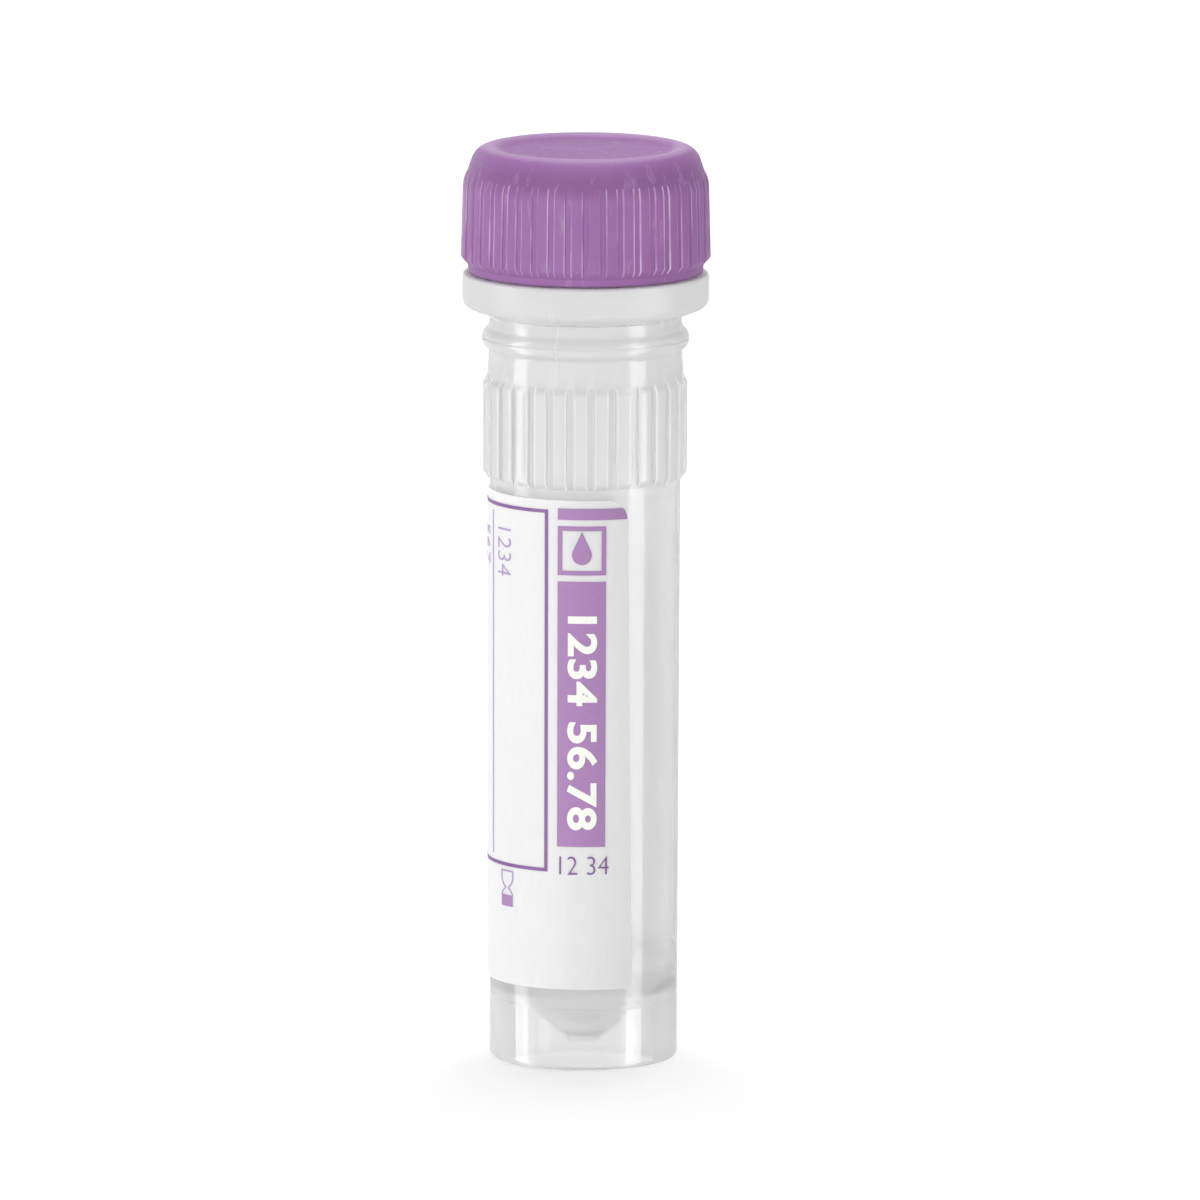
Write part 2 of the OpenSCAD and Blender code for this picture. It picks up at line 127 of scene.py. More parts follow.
def rounded(corners, steps=5):
    """An open outline whose corners (r, z, radius) are replaced by arcs where radius > 0."""
    out = []
    for i, (x, z, r) in enumerate(corners):
        if r <= 0 or i in (0, len(corners) - 1):
            out.append((x, z))
            continue
        here = np.array((x, z))
        back = np.array(corners[i - 1][:2]) - here
        on = np.array(corners[i + 1][:2]) - here
        back, on = back / np.linalg.norm(back), on / np.linalg.norm(on)
        half = math.acos(max(-1.0, min(1.0, float(back @ on)))) / 2
        centre = here + (back + on) / np.linalg.norm(back + on) * r / math.sin(half)
        first = here + back * r / math.tan(half) - centre
        last = here + on * r / math.tan(half) - centre
        sweep = math.atan2(first[0] * last[1] - first[1] * last[0], float(first @ last))
        for k in range(steps + 1):
            a = sweep * k / steps
            across = first[0] * math.cos(a) - first[1] * math.sin(a)
            up = first[0] * math.sin(a) + first[1] * math.cos(a)
            out.append((centre[0] + across, centre[1] + up))
    return out


def closer(points, step):
    """The outline with points at most a step apart."""
    out = [points[0]]
    for a, b in zip(points, points[1:]):
        parts = max(1, math.ceil(math.dist(a, b) / step))
        for k in range(1, parts + 1):
            out.append((a[0] + (b[0] - a[0]) * k / parts, a[1] + (b[1] - a[1]) * k / parts))
    return out


# ---------------------------------------------------------------- meshes
def new_object(name, verts, faces, smooth_under=32):
    """An object from points in millimetres. Edges sharper than smooth_under degrees stay sharp."""
    mesh = bpy.data.meshes.new(name)
    mesh.from_pydata([tuple(c * MM for c in v) for v in verts], [], faces)
    mesh.validate()
    for p in mesh.polygons:
        p.use_smooth = True
    mesh.set_sharp_from_angle(angle=math.radians(smooth_under))
    mesh.update()
    obj = bpy.data.objects.new(name, mesh)
    bpy.context.scene.collection.objects.link(obj)
    return obj


def turned(name, outline, angles, bump=None, edge=None):
    """A closed solid of revolution. outline runs along the section so that the material lies on its left.
    bump(r, z, angle) moves a point outwards. Outline points on the axis become one vertex. edge(r, z, angle)
    says how much a point belongs to a rib's edge, for the material's painted highlight there, or gives -1
    down in a groove, for its painted shade."""
    verts, rings, edges = [], [], []
    for r, z in outline:
        if r < ON_AXIS:
            rings.append([len(verts)])
            verts.append((0, 0, z))
            edges.append(0.0)
            continue
        edges += [edge(r, z, a) if edge else 0.0 for a in angles]
        rings.append(list(range(len(verts), len(verts) + len(angles))))
        for a in angles:
            out = r + (bump(r, z, a) if bump else 0)
            verts.append((out * math.cos(math.radians(a)), out * math.sin(math.radians(a)), z))
    faces = []
    n = len(angles)
    pairs = list(zip(rings, rings[1:]))
    if outline[0][0] > ON_AXIS:
        pairs.append((rings[-1], rings[0]))
    for low, high in pairs:
        for i in range(n):
            j = (i + 1) % n
            if len(low) == 1:
                faces.append((low[0], high[j], high[i]))
            elif len(high) == 1:
                faces.append((low[i], low[j], high[0]))
            else:
                faces.append((low[i], low[j], high[j], high[i]))
    solid = new_object(name, verts, faces)
    solid.data.attributes.new("edge", "FLOAT", "POINT").data.foreach_set("value", edges)
    return solid


def even(count):
    """Angles spread evenly round a ring."""
    return [360 * i / count for i in range(count)]


def rib_stations(count, land, flank, bevel, seed, uneven):
    """Angles at which a ribbed ring needs points, and there the rib's height, 0 to 1, and how pale its edge
    is, for a painted highlight, or -1 down in a groove, for painted shade. Moulded ribs differ a little in
    height and in how crisp their edges are."""
    gap = 360 / count
    luck = random.Random(seed)
    out = {}
    for i in range(count):
        tall = 1 - uneven * luck.random()
        half = land / 2 * (1 - 0.3 * uneven * luck.random())
        ends = []
        for _ in range(2):
            slope = flank * (1 + uneven * luck.uniform(-1, 1))
            soft = bevel * (1 + 1.5 * uneven * luck.uniform(-1, 1))
            # How strong this edge's painted highlight is.
            pale = luck.uniform(0.4, 1.0)
            ends.append([(half + slope + soft, 0.0, -1.0), (half + slope, 0.06, -0.5),
                         (half + slope * 0.5, 0.5, pale / 2), (half, 0.88, pale),
                         (half - soft * 0.5, 0.975, pale / 2), (half - soft, 1.0, 0.0)])
        stops = [(-gap / 2, 0.0, -1.0), (0.0, 1.0, 0.0)]
        stops += [(-a, height, pale) for a, height, pale in ends[0]] + ends[1]
        for a, height, pale in stops:
            out[round(((i + 0.5) * gap + a) % 360, 5)] = (height * tall, pale)
    return out


def thread_height(z, angle, start_z, turns):
    """Height of a screw ridge at (z, angle), 0 to 1: it climbs PITCH a turn from start_z."""
    best = 0.0
    for k in range(-1, 3):
        along = (angle % 360) / 360 + k
        if not 0 <= along <= turns:
            continue
        off = abs(z - (start_z + PITCH * along))
        flank = 1 - max(0.0, off - THREAD_CREST_W / 2) / ((THREAD_W - THREAD_CREST_W) / 2)
        lead = min(1.0, along / THREAD_LEAD, (turns - along) / THREAD_LEAD)
        best = max(best, min(flank, 1.0) * lead)
    return max(0.0, best)


# ---------------------------------------------------------------- shader nodes
class Graph:
    """The nodes of a material or the world, with short ways to add to them."""

    def __init__(self, owner):
        owner.use_nodes = True
        self.nodes, self.links = owner.node_tree.nodes, owner.node_tree.links

    def feed(self, source, socket):
        """Links another node's output to a socket, or sets the socket to a plain value."""
        if isinstance(source, bpy.types.NodeSocket):
            self.links.new(source, socket)
        elif socket.type == "RGBA":
            socket.default_value = (*source, 1)
        else:
            socket.default_value = source

    def add(self, kind, inputs, output=None):
        """A new node, fed by its inputs' names or numbers. Gives its outputs, or the one named by output."""
        node = self.nodes.new(kind)
        for name, source in inputs.items():
            self.feed(source, node.inputs[name])
        return node.outputs[output] if output else node.outputs

    def where(self, space="Object"):
        """The place of the shaded point, or in the world the direction that is looked in."""
        return self.add("ShaderNodeTexCoord", {}, space)

    def split(self, where):
        """A place's X, Y and Z."""
        return self.add("ShaderNodeSeparateXYZ", {"Vector": where})

    def maths(self, operation, a, b):
        node = self.nodes.new("ShaderNodeMath")
        node.operation = operation
        self.feed(a, node.inputs[0])
        self.feed(b, node.inputs[1])
        return node.outputs["Value"]

    def mix(self, share, a, b, kind="RGBA", blend="MIX"):
        """a where share is 0 and b where it is 1."""
        node = self.nodes.new("ShaderNodeMix")
        node.data_type = kind
        node.blend_type = blend
        for name, source in (("Factor", share), ("A", a), ("B", b)):
            self.feed(source, node.inputs[name])
        return node.outputs["Result"]

    def noise(self, where, scale, detail=3.0, rough=0.5, stretch=(1, 1, 1)):
        """Cloudy noise of scale patches a metre. A stretch below 1 draws the patches out."""
        place = self.add("ShaderNodeMapping", {"Vector": where, "Scale": stretch}, "Vector")
        look = {"Vector": place, "Scale": scale, "Detail": detail, "Roughness": rough}
        return self.add("ShaderNodeTexNoise", look, "Fac")

    def spread(self, value, low, high, from_low=0.3, from_high=0.7):
        """low to high as value runs from from_low to from_high."""
        ends = {"Value": value, "From Min": from_low, "From Max": from_high, "To Min": low, "To Max": high}
        return self.add("ShaderNodeMapRange", ends, "Result")

    def between(self, value, low, high):
        """A colour that wanders between two as value runs from 0.3 to 0.7."""
        return self.mix(self.spread(value, 0, 1), low, high)

    def bump(self, height, distance, strength):
        look = {"Height": height, "Distance": distance, "Strength": strength}
        return self.add("ShaderNodeBump", look, "Normal")

    def attribute(self, name):
        """A value that the mesh's points carry."""
        node = self.nodes.new("ShaderNodeAttribute")
        node.attribute_name = name
        return node.outputs["Fac"]

    def painted_edge_highlight(self, where, scale, low, high):
        """Painted highlight on a rib's edge: how pale it is, broken up along its height."""
        patches = self.noise(where, scale, 3, 0.6, (1, 1, 0.3))
        return self.maths("MULTIPLY", self.attribute("edge"), self.spread(patches, low, high, 0.4, 0.6))

    def by_height(self, z, stops):
        """A value that changes with height, from stops of (z in millimetres, value or colour)."""
        colours = [v if isinstance(v, tuple) else (v,) * 3 for _, v in stops]
        top = stops[-1][0]
        ramp = self.nodes.new("ShaderNodeValToRGB")
        ends = ramp.color_ramp.elements
        ends[0].position, ends[0].color = 0.0, (*colours[0], 1)
        ends[1].position, ends[1].color = 1.0, (*colours[-1], 1)
        for (level, _), colour in list(zip(stops, colours))[1:-1]:
            ends.new(level / top).color = (*colour, 1)
        self.links.new(self.maths("DIVIDE", z, top * MM), ramp.inputs["Fac"])
        return ramp.outputs["Color"]


class Surface(Graph):
    """A new material with a Principled shader."""

    def __init__(self, name):
        self.material = bpy.data.materials.new(name)
        super().__init__(self.material)
        self.shader = self.nodes["Principled BSDF"]
        self.output = self.nodes["Material Output"]

    def set(self, looks):
        """Feeds the shader's inputs, by name."""
        for name, source in looks.items():
            self.feed(source, self.shader.inputs[name])


# ---------------------------------------------------------------- materials
def natural_plastic():
    """Moulded natural polypropylene: clear in the thin wall, milky in the thick collar. Between the ribs it
    is darker, a painted shade, and on their edges paler and less clear, a painted highlight."""
    plastic = Surface("natural_plastic")
    where = plastic.where()
    z = plastic.split(where)["Z"]
    tint = plastic.by_height(z, (
        (0, (0.872, 0.868, 0.868)), (1.2, (0.9, 0.895, 0.895)), (3.2, (0.9, 0.895, 0.895)),
        (5.0, (0.93, 0.925, 0.925)), (7.0, (0.955, 0.955, 0.955)), (GRIP_Z - 1.0, (0.965, 0.963, 0.963)),
        (GRIP_Z + 1.0, (0.985, 0.98, 0.98)), (MOUTH_Z, (0.985, 0.98, 0.98))))
    clear = plastic.by_height(z, (
        (0, 0.74), (3.2, 0.74), (3.9, 0.5), (5.4, 0.5), (6.6, 0.7), (GRIP_Z - 0.6, 0.66),
        (GRIP_Z + 0.4, 0.42), (COLLAR_Z - 0.2, 0.42), (COLLAR_Z + 0.6, 0.3), (COLLAR_TOP + 0.2, 0.3),
        (COLLAR_TOP + 0.8, 0.62), (MOUTH_Z, 0.62)))
    satin = plastic.by_height(z, (
        (0, 0.1), (3.9, 0.1), (5.4, 0.12), (GRIP_Z, 0.13), (COLLAR_Z - 0.2, 0.12), (COLLAR_Z + 0.3, 0.4),
        (COLLAR_TOP + 0.2, 0.4), (COLLAR_TOP + 0.8, 0.2), (MOUTH_Z, 0.2)))
    # Painted shade: darker down in the grooves between the grip's ribs.
    in_groove = plastic.spread(plastic.attribute("edge"), 1.0, 0.0, -1.0, -0.2)
    tint_with_painted_groove_shade = plastic.mix(in_groove, tint, (0.88, 0.88, 0.88), blend="MULTIPLY")
    # Painted highlight along the ribs' edges: paler and less clear there.
    edge = plastic.painted_edge_highlight(where, 500, 0.6, 1.0)
    haze = plastic.noise(where, 900, 4, 0.6, (1, 1, 0.35))
    flow = plastic.noise(where, 420, 3, 0.5, (1, 1, 0.08))
    plastic.set({
        "Base Color": plastic.mix(edge, tint_with_painted_groove_shade, (1, 1, 1)),
        "IOR": 1.49,
        "Specular IOR Level": 0.5,
        "Transmission Weight": plastic.mix(edge, clear, 0.1, kind="FLOAT"),
        "Roughness": plastic.maths("MULTIPLY", satin, plastic.spread(haze, 0.8, 1.3)),
        "Normal": plastic.bump(flow, 0.00001, 0.35),
    })
    let_lamps_through(plastic, (0.95, 0.95, 0.95))
    dim = {"Color": (0.86, 0.865, 0.87), "Density": 105.0}
    plastic.feed(plastic.add("ShaderNodeVolumeAbsorption", dim, "Volume"), plastic.output.inputs["Volume"])
    return plastic.material


def let_lamps_through(plastic, tint):
    """Lets lamp light reach what is behind the plastic."""
    shadow = plastic.add("ShaderNodeLightPath", {}, "Is Shadow Ray")
    through = plastic.add("ShaderNodeBsdfTransparent", {"Color": tint}, "BSDF")
    parts = {"Fac": shadow, 1: plastic.shader.outputs["BSDF"], 2: through}
    plastic.feed(plastic.add("ShaderNodeMixShader", parts, "Shader"), plastic.output.inputs["Surface"])


def cap_plastic():
    """Satin purple polyethylene with pale scuff patches, a painted highlight on the ribs' edges and along the
    crest, and painted shade round the shoulder.
    """
    plastic = Surface("cap_plastic")
    where = plastic.where()
    z = plastic.split(where)["Z"]
    cloud = plastic.noise(where, 260, 4, 0.55)
    purple = plastic.between(cloud, (0.298, 0.124, 0.350), (0.333, 0.143, 0.386))
    # Painted shade: darker in a band round the shoulder, below the crest.
    painted_shoulder_shade = plastic.by_height(z, (
        (0, 1.0), (CREST_Z - 2.1, 1.0), (CREST_Z - 1.5, 0.82), (CREST_Z - 1.0, 0.8), (CREST_Z - 0.55, 0.93),
        (CREST_Z - 0.3, 1.0), (CREST_Z, 1.0)))
    tint = plastic.mix(1.0, purple, painted_shoulder_shade, blend="MULTIPLY")
    scuffs = plastic.spread(plastic.noise(where, 1500, 4, 0.7, (1, 1, 0.25)), 0.04, 0.34, 0.58, 0.78)
    # Pale scuff patches, and the painted highlight on the ribs' edges.
    scuffs_and_painted_highlight = plastic.maths("MAXIMUM", scuffs, plastic.painted_edge_highlight(where, 700, 0.1, 0.95))
    # Painted highlight along the top of the crest.
    crest = plastic.by_height(z, ((0, 0.0), (CREST_Z - 0.07, 0.0), (CREST_Z, 0.32)))
    fine = plastic.noise(where, 2600, 3, 0.6)
    plastic.set({
        "Base Color": plastic.mix(plastic.maths("MAXIMUM", scuffs_and_painted_highlight, crest), tint, (0.78, 0.62, 0.83)),
        "Specular IOR Level": 0.2,
        "Subsurface Weight": 0.12,
        "Subsurface Radius": (0.6, 0.3, 0.6),
        "Subsurface Scale": 0.001,
        "Roughness": plastic.spread(fine, 0.36, 0.48),
        "Normal": plastic.bump(fine, 0.00001, 0.3),
    })
    return plastic.material


def label_paper():
    """Coated white paper with a faint fibre grain."""
    paper = Surface("label_paper")
    fibre = paper.noise(paper.where(), 3200, 5, 0.6, (1, 1, 0.3))
    paper.set({
        "Base Color": paper.between(fibre, (0.86, 0.86, 0.87), (0.89, 0.89, 0.90)),
        "Roughness": paper.spread(fibre, 0.42, 0.55),
        "Subsurface Weight": 0.8,
        "Subsurface Radius": (1.0, 1.0, 1.0),
        "Subsurface Scale": 0.0003,
        "Normal": paper.bump(fibre, 0.000006, 0.4),
    })
    return paper.material


def ink(name, colour):
    """Printed ink: a touch uneven, as glossy as the paper."""
    dye = Surface(name)
    speck = dye.noise(dye.where(), 5200, 4, 0.6)
    dark, light = [[min(1, c * share) for c in colour] for share in (0.96, 1.04)]
    dye.set({
        "Base Color": dye.between(speck, dark, light),
        "Roughness": dye.spread(speck, 0.38, 0.5),
        "Normal": dye.bump(speck, 0.000004, 0.3),
    })
    return dye.material


def seal_rubber():
    """Matt grey silicone with a little dust."""
    rubber = Surface("seal_rubber")
    dust = rubber.noise(rubber.where(), 1800, 4, 0.6)
    rubber.set({
        "Base Color": rubber.between(dust, (0.58, 0.58, 0.60), (0.66, 0.66, 0.68)),
        "Roughness": rubber.spread(dust, 0.5, 0.65),
        "Normal": rubber.bump(dust, 0.00001, 0.4),
    })
    return rubber.material


def finish_piece(piece, material, body, slot, *nodes):
    """Gives a piece its material and its body, and hides the CAD nodes that it stands for. slot is not used.
    """
    piece.data.materials.append(material)
    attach(piece, body)
    if nodes:
        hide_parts(*nodes)
    return piece


# ---------------------------------------------------------------- the tube
def body_r(z):
    """Radius of the body's outside at height z."""
    return FOOT_R + (BODY_R - FOOT_R) * max(0.0, z - FOOT_H) / (GRIP_Z - FOOT_H)


def neck_r(z):
    """Radius of the neck at height z, between the grip and the collar."""
    return NECK_R + (NECK_TOP_R - NECK_R) * (z - GRIP_TOP) / (COLLAR_Z - GRIP_TOP)


def bead():
    """Points of the bead and its hollow fillets, going up. A nick runs round just above its middle."""
    root = neck_r(BEAD_Z)
    rise = BEAD_R - root
    r = (BEAD_H ** 2 / 4 + rise ** 2) / (2 * rise)
    bead_x, fillet_x = BEAD_R - r, root + BEAD_FILLET
    up = math.sqrt((r + BEAD_FILLET) ** 2 - (fillet_x - bead_x) ** 2)
    lean = math.degrees(math.atan2(up, fillet_x - bead_x))
    low = arc((fillet_x, BEAD_Z - up), BEAD_FILLET, 180, 180 - lean, 5)
    middle = arc((bead_x, BEAD_Z), r, -lean, 3, 10)
    middle += arc((bead_x, BEAD_Z), r - BEAD_NICK, 5, 9, 2)
    middle += arc((bead_x, BEAD_Z), r, 11, lean, 8)
    high = arc((fillet_x, BEAD_Z + up), BEAD_FILLET, 180 + lean, 180, 5)
    return low + middle[1:-1] + high


def skirt_outline():
    """The underside, from the nib at the cone's tip to the foot's outer edge."""
    drop, slope = FLOOR_T / math.cos(FLOOR_SLOPE), math.tan(FLOOR_SLOPE)

    def under(r):
        return FLOOR_Z - (BORE_FLOOR_R - r) * slope - drop

    cone_r = NIB_R + NIB_H
    nib_z = under(cone_r) - NIB_H
    return rounded([(0, nib_z, 0), (NIB_R, nib_z, 0.05), (NIB_R + NIB_DRAFT, under(cone_r), 0.04),
                    (cone_r, under(cone_r), 0.05), (SKIRT_R, under(SKIRT_R), 0.12), (SKIRT_R, 0, 0.15),
                    (FOOT_R, 0, 0.3), (FOOT_R, FOOT_H, 0)])


def bore_outline(top_z):
    """The inside, from top_z down to the axis."""
    tip_z = FLOOR_Z - BORE_FLOOR_R * math.tan(FLOOR_SLOPE) + FLOOR_TIP_R / math.cos(FLOOR_SLOPE)
    span_z = top_z - FLOOR_Z
    wall = [(BORE_R + (BORE_FLOOR_R - BORE_R) * t, top_z - span_z * t) for t in (0.25, 0.5, 0.75, 0.96)]
    touch = (FLOOR_TIP_R * math.sin(FLOOR_SLOPE), tip_z - FLOOR_TIP_R * math.cos(FLOOR_SLOPE))
    floor = rounded([wall[-1] + (0,), (BORE_FLOOR_R, FLOOR_Z, 0.12), touch + (0,)], 4)
    tip = arc((0, tip_z), FLOOR_TIP_R, -90 + math.degrees(FLOOR_SLOPE), -90, 6)
    tip[-1] = (0, tip[-1][1])
    return wall + floor[1:] + tip[1:]


def tube_outline():
    """The tube's section, from the nib out and up, over the mouth and down the bore."""
    above_bead, neck_z = BEAD_Z + 0.9, COLLAR_TOP + 0.25
    rim_z, bore_z = MOUTH_Z - 0.2, MOUTH_Z - 0.3
    body = [(body_r(z), z) for z in np.arange(FOOT_H + 2, GRIP_Z - 0.5, 4.0)] + [(BODY_R, GRIP_Z - 0.04)]
    grip = closer([(NECK_R - 0.01, GRIP_Z), (NECK_R, GRIP_TOP)], FINE_STEP)
    collar = rounded([(neck_r(above_bead), above_bead, 0), (NECK_TOP_R, COLLAR_Z, 0.1),
                      (COLLAR_R, COLLAR_Z + COLLAR_SLOPE, 0.5), (COLLAR_R, COLLAR_TOP, 0.15),
                      (MOUTH_R, COLLAR_TOP, 0.1), (MOUTH_R, neck_z, 0)], 7)
    neck = closer([(MOUTH_R, neck_z), (MOUTH_R, rim_z)], FINE_STEP)
    rim = rounded([(MOUTH_R, rim_z, 0), (MOUTH_R, MOUTH_Z, 0.15), (BORE_R, MOUTH_Z, 0.1),
                   (BORE_R, bore_z, 0)], 4)
    return skirt_outline() + body + grip + bead() + collar + neck[1:] + rim[1:] + bore_outline(bore_z)


def grip_stations():
    """Two tables by angle: the ribs' height and how pale their edges are, for a painted highlight, and the
    parting line's rise, 0 to 1. The first has the parting line's angles too, with the height that the ribs
    have there."""
    pitch = 360 / GRIP_COUNT
    wide, rest = WIDE_RIB / 360 * GRIP_COUNT, (360 - WIDE_RIB) / (GRIP_COUNT - 1) / 360 * GRIP_COUNT
    ribs = {}
    for a, rib in rib_stations(GRIP_COUNT, GRIP_LAND, flank=0.3, bevel=1.1, seed=3, uneven=0.12).items():
        a = a * wide if a < pitch else 360 - (360 - a) * rest
        ribs[round((a + WIDE_AT + FRONT) % 360, 5)] = rib
    seam = {}
    for side, lift in ((-2, 0), (-1, 1), (1, 1), (2, 0)):
        seam[round((SEAM_AT + FRONT + side * SEAM_HALF) % 360, 5)] = lift
    at = sorted(ribs)
    for a in seam:
        near = [b for b in at if abs(b - a) < pitch]
        ribs.setdefault(a, (float(np.interp(a, near, [ribs[b][0] for b in near])), 0.0))
    return ribs, seam


def make_tube(material):
    """The moulded tube, in one piece. Only its outside has ribs, parting line and thread."""
    ribs, seam = grip_stations()
    outside_r = BORE_R + 0.5

    def bump(r, z, a):
        if GRIP_Z - 0.01 <= z <= GRIP_TOP + 0.01 and r > outside_r:
            share = min(1.0, (z - GRIP_Z) / GRIP_FOOT, (GRIP_TOP - z) / GRIP_END)
            return ribs[a][0] * (GRIP_R - NECK_R) * share
        if GRIP_TOP < z < COLLAR_TOP - 0.2 and r > NECK_TOP_R - 0.05:
            return SEAM_H * seam.get(a, 0)
        if COLLAR_TOP + 0.1 < z < MOUTH_Z and r > outside_r:
            return THREAD_H * thread_height(z, a, THREAD_Z, THREAD_TURNS)
        return 0.0

    # Paleness for the painted highlight on the ribs' edges, -1 down in their grooves for painted shade, and
    # the parting line's paleness.
    def edge(r, z, a):
        if r < outside_r or z < GRIP_Z:
            return 0.0
        return ribs[a][1] if z < GRIP_TOP else SEAM_PALE * seam.get(a, 0)

    tube = turned("moulded_tube", tube_outline(), sorted(ribs), bump, edge)
    return finish_piece(tube, material, "tube", "natural_plastic", "tube")


# ---------------------------------------------------------------- cap and seal
def cap_top_outline():
    """The round crest, the dish and its hollow fillet, in to the axis."""
    side_x = CAP_CORE_R - (SHOULDER_H - CREST_R) * math.tan(SHOULDER_LEAN)
    crest = (side_x - CREST_R / math.cos(SHOULDER_LEAN), CREST_Z - CREST_R)
    floor_z = CREST_Z - DISH
    fillet_z = floor_z + DISH_FILLET
    hollow = (crest[0] - math.sqrt((CREST_R + DISH_FILLET) ** 2 - (fillet_z - crest[1]) ** 2), fillet_z)
    turn = math.degrees(math.atan2(hollow[1] - crest[1], hollow[0] - crest[0]))
    top = arc(crest, CREST_R, math.degrees(SHOULDER_LEAN), turn, 20)
    top += arc(hollow, DISH_FILLET, turn - 180, -90, 10)[1:]
    return top + [(r, floor_z) for r in (2.6, 1.3, 0)]


def cap_outline():
    """The cap's section, from the ceiling's middle round the plug, down the bore, and up the outside."""
    rib_z, shoulder_z = CAP_Z + CAP_BAND, CREST_Z - SHOULDER_H
    plug_z, start_r, lead = MOUTH_Z - PLUG_H, 1.6, 0.3
    side = rounded([(CAP_BORE_R, CAP_Z, 0), (CAP_RIM_R, CAP_Z, 0.12), (CAP_RIM_R, rib_z, 0)], 4)
    wall = closer([(CAP_RIM_R, rib_z), (CAP_CORE_R, shoulder_z)], CAP_STEP)
    plug = rounded([(start_r, CEILING_Z, 0), (PLUG_IN_R, CEILING_Z, 0.15), (PLUG_IN_R, plug_z, 0.1),
                    (PLUG_R - lead, plug_z, 0.08), (PLUG_R, plug_z + 0.4, 0.1), (PLUG_R, CEILING_Z, 0.0),
                    (CAP_BORE_R, CEILING_Z, 0.0)], 4)
    bore = closer([(CAP_BORE_R, CEILING_Z), (CAP_BORE_R, CAP_Z + 0.02)], FINE_STEP)
    return [(0, CEILING_Z)] + plug + bore[1:-1] + side + wall[1:] + cap_top_outline()


def make_cap(material):
    """The cap, in one piece, with ribs outside and the thread inside."""
    ribs = rib_stations(CAP_RIBS, CAP_LAND, flank=0.35, bevel=0.7, seed=11, uneven=0.25)
    rib_z, top_z = CAP_Z + CAP_BAND, CREST_Z - SHOULDER_H
    curve_z = top_z - CAP_RIB_TOP
    back = CAP_TOP_R - CAP_CORE_R
    curve_r = (CAP_RIB_TOP ** 2 + back ** 2) / (2 * back)
    outside_r = CAP_BORE_R + 0.3

    def bump(r, z, a):
        if r > outside_r and rib_z <= z <= top_z + 1e-6:
            core = CAP_RIM_R + (CAP_CORE_R - CAP_RIM_R) * (z - rib_z) / (top_z - rib_z)
            climb = (z - rib_z - CAP_RIB_END) / (curve_z - rib_z - CAP_RIB_END)
            tip = CAP_R + (CAP_TOP_R - CAP_R) * min(1.0, climb)
            if z > curve_z:
                tip = CAP_TOP_R - curve_r + math.sqrt(max(0.0, curve_r ** 2 - (z - curve_z) ** 2))
            full = (tip - core) * min(1.0, (z - rib_z) / CAP_RIB_END)
            return full * (CAP_GROOVE + (1 - CAP_GROOVE) * ribs[a][0])
        if abs(r - CAP_BORE_R) < 0.01 and CAP_Z + 0.1 < z < CEILING_Z - 0.1:
            return -THREAD_H * thread_height(z, a, THREAD_Z + PITCH / 2, CAP_TURNS)
        return 0.0

    # Paleness for the painted highlight on the ribs' edges.
    def edge(r, z, a):
        return ribs[a][1] if r > outside_r and rib_z + 0.1 < z < top_z - 0.1 else 0.0

    cap = turned("ribbed_cap", cap_outline(), sorted(ribs), bump, edge)
    return finish_piece(cap, material, "cap", "cap_plastic", "screw_cap")


def make_seal(material):
    """The ring in its pressed shape: round with two flats."""
    half = SEAL_H / 2
    flat = math.degrees(math.asin(half / (SEAL_D / 2)))
    centre = (SEAL_R, MOUTH_Z + half)
    outline = arc(centre, SEAL_D / 2, -flat, flat, 10) + arc(centre, SEAL_D / 2, 180 - flat, 180 + flat, 10)
    return finish_piece(turned("seal", outline, even(160)), material, "seal", "seal_rubber", "seal_ring")


# ---------------------------------------------------------------- label and print
def on_label(angle, z, lift):
    """The point at an angle from the label's front and a height, lift above the tube's wall."""
    r = body_r(z) + lift
    a = math.radians(angle + FRONT)
    return (r * math.cos(a), r * math.sin(a), z)


def label_edge_at(z):
    """Angle of the label's free edge at height z, with its round corners."""
    r = body_r(z) + LABEL_T
    t = (z - LABEL_Z) / (LABEL_TOP - LABEL_Z)
    x = r * math.sin(math.radians(LABEL_EDGE)) + LABEL_SKEW * (0.5 - t)
    for corner, gap in ((LABEL_CORNER, LABEL_TOP - z), (LABEL_LOW_CORNER, z - LABEL_Z)):
        if gap < corner:
            x -= corner - math.sqrt(max(0.0, corner ** 2 - (corner - gap) ** 2))
    return math.degrees(math.asin(x / r))


def sheet_on_tube(columns, heights, low, high):
    """A thin closed sheet. columns(z) gives the angles of a row, low and high its faces' lifts."""
    verts, faces = [], []
    rows = [columns(z) for z in heights]
    across, up = len(rows[0]), len(heights)
    for lift in (low, high):
        for z, row in zip(heights, rows):
            verts += [on_label(a, z, lift) for a in row]
    count = across * up

    def at(i, k):
        return i * across + k

    for i in range(up - 1):
        for k in range(across - 1):
            quad = (at(i, k), at(i, k + 1), at(i + 1, k + 1), at(i + 1, k))
            faces.append(tuple(v + count for v in quad))
            faces.append(quad[::-1])
    rim = [at(0, k) for k in range(across)]
    rim += [at(i, across - 1) for i in range(1, up)]
    rim += [at(up - 1, k) for k in range(across - 2, -1, -1)]
    rim += [at(i, 0) for i in range(up - 2, 0, -1)]
    for a, b in zip(rim, rim[1:] + rim[:1]):
        faces.append((a, b, b + count, a + count))
    return verts, faces


